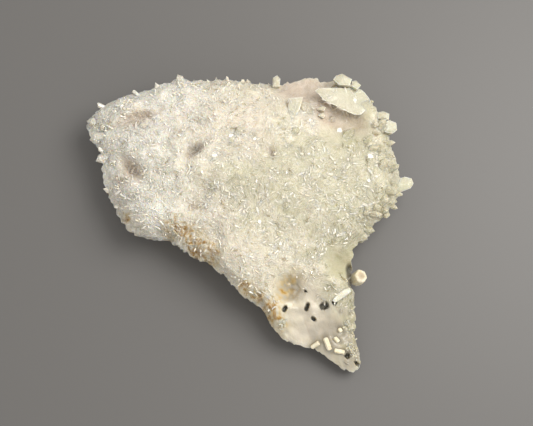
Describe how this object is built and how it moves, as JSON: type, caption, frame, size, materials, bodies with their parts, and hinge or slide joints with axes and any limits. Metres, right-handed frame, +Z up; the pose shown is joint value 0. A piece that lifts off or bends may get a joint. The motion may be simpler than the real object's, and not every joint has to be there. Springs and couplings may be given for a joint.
{
  "type": "quartz cluster",
  "caption": "Flat quartz cluster: a milky crystal plate covered in low needles, tapering to a tail, with small cream crystals seated in it.",
  "frame": {"origin": "on the flat resting face, under the middle of the cluster's outline box", "axes": "+X along the plate's long way, towards the crystal that reaches furthest out; +Y along its short way, away from the tail; +Z up from the resting face"},
  "size_m": [0.1324, 0.1199, 0.0359],
  "materials": {
    "quartz": "natural crystal faces, milky and pale straw, in part clear",
    "cream_mineral": "dull, grainy, cream"
  },
  "bodies": {
    "root": {"quartz_cluster": "quartz", "cream_prism": "cream_mineral", "cream_rod_left": "cream_mineral", "cream_rod_long": "cream_mineral", "cream_rod_low": "cream_mineral", "cream_rod_short": "cream_mineral", "cream_rod_upper": "cream_mineral"}
  },
  "joints": []
}
